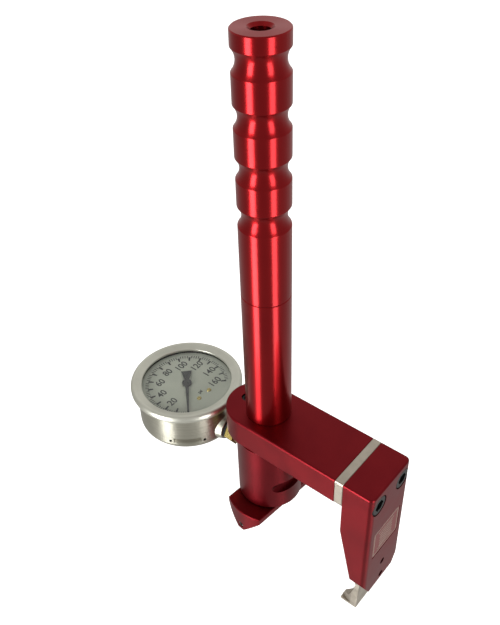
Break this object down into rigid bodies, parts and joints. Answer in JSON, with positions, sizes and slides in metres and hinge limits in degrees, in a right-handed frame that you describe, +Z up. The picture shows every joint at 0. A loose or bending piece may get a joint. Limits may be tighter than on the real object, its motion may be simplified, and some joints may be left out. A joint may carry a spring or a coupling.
{
  "type": "valve spring seat pressure tester",
  "caption": "Hand lever with a hydraulic force cell: turned handle on a flat arm, cylinder with wedge foot, dial pressure gauge and a leg with a steel claw.",
  "frame": {"origin": "centre of the foot's pressing land, on the axis of the handle and cylinder", "axes": "+Z up the handle, +X along the arm towards the leg and claw, the gauge lies towards -X"},
  "size_m": [0.1798, 0.0688, 0.3255],
  "materials": {
    "anodised_turned": "red anodised, turned, glossy",
    "anodised_milled": "red anodised, bead blasted, satin",
    "nickel_plate": "fine ground",
    "claw_steel": "ground tool steel",
    "black_oxide": "black oxide",
    "plain_steel": "machined",
    "stainless_case": "satin stainless",
    "stainless_bezel": "satin stainless",
    "window_clear": "clear",
    "dial_face": "matt enamel",
    "pointer_black": "matt",
    "brass_parts": "turned",
    "bronze_tube": "drawn",
    "black_rubber": "moulded",
    "wear_plastic": "machined"
  },
  "bodies": {
    "tool": {"arm": "anodised_milled", "spacer_plate": "nickel_plate", "leg_block": "anodised_milled", "leg_screws": "black_oxide", "claw": "claw_steel", "claw_screws": "black_oxide", "handle_base_stud": "plain_steel", "handle_post": "anodised_turned", "handle_joining_stud": "plain_steel", "handle_grip": "anodised_turned", "bleed_screw": "black_oxide", "bleed_seal": "black_rubber", "cylinder_barrel": "anodised_milled", "retaining_ring": "black_oxide", "gauge_case": "stainless_case", "case_neck_ring": "stainless_case", "case_fill_plug": "black_rubber", "gauge_bezel": "stainless_bezel", "gauge_window": "window_clear", "window_gasket": "black_rubber", "gauge_dial": "dial_face", "dial_screws": "brass_parts", "hairspring": "bronze_tube", "bourdon_tube": "bronze_tube", "movement_frame": "brass_parts", "gauge_socket": "brass_parts", "stem_seal": "black_rubber"},
    "ram": {"piston": "plain_steel", "piston_seal": "black_rubber", "wear_ring": "wear_plastic"},
    "foot": {"foot": "anodised_milled", "foot_edge_pin": "plain_steel", "foot_retaining_screw": "black_oxide"},
    "pointer": {"gauge_pointer": "pointer_black", "pointer_arbor": "brass_parts"},
    "sector": {"sector_gear": "brass_parts"},
    "link": {"gauge_link": "brass_parts"}
  },
  "joints": [
    {"name": "ram_slide", "type": "slide", "parent": "tool", "child": "ram", "axis": [0, 0, 1], "range_m": [0, 0.001]},
    {"name": "foot_swivel", "type": "hinge", "parent": "ram", "child": "foot", "pos_m": [0, 0, 0.0109], "axis": [0, 0, 1], "continuous": true},
    {"name": "pointer_turn", "type": "hinge", "parent": "tool", "child": "pointer", "pos_m": [-0.065, 0, 0.058], "axis": [0, 0, 1], "range_deg": [-270, 0]},
    {"name": "sector_turn", "type": "hinge", "parent": "tool", "child": "sector", "pos_m": [-0.065, 0.0177, 0.054], "axis": [0, 0, 1], "range_deg": [0, 27]},
    {"name": "link_turn", "type": "hinge", "parent": "sector", "child": "link", "pos_m": [-0.06383, 0.02256, 0.0555], "axis": [0, 0, 1], "range_deg": [-27, 0]}
  ],
  "couplings": [
    {"joint": "pointer_turn", "follows": "ram_slide", "rad_per_m": -4712.3},
    {"joint": "sector_turn", "follows": "ram_slide", "rad_per_m": 471.23},
    {"joint": "link_turn", "follows": "ram_slide", "rad_per_m": -471.23}
  ]
}
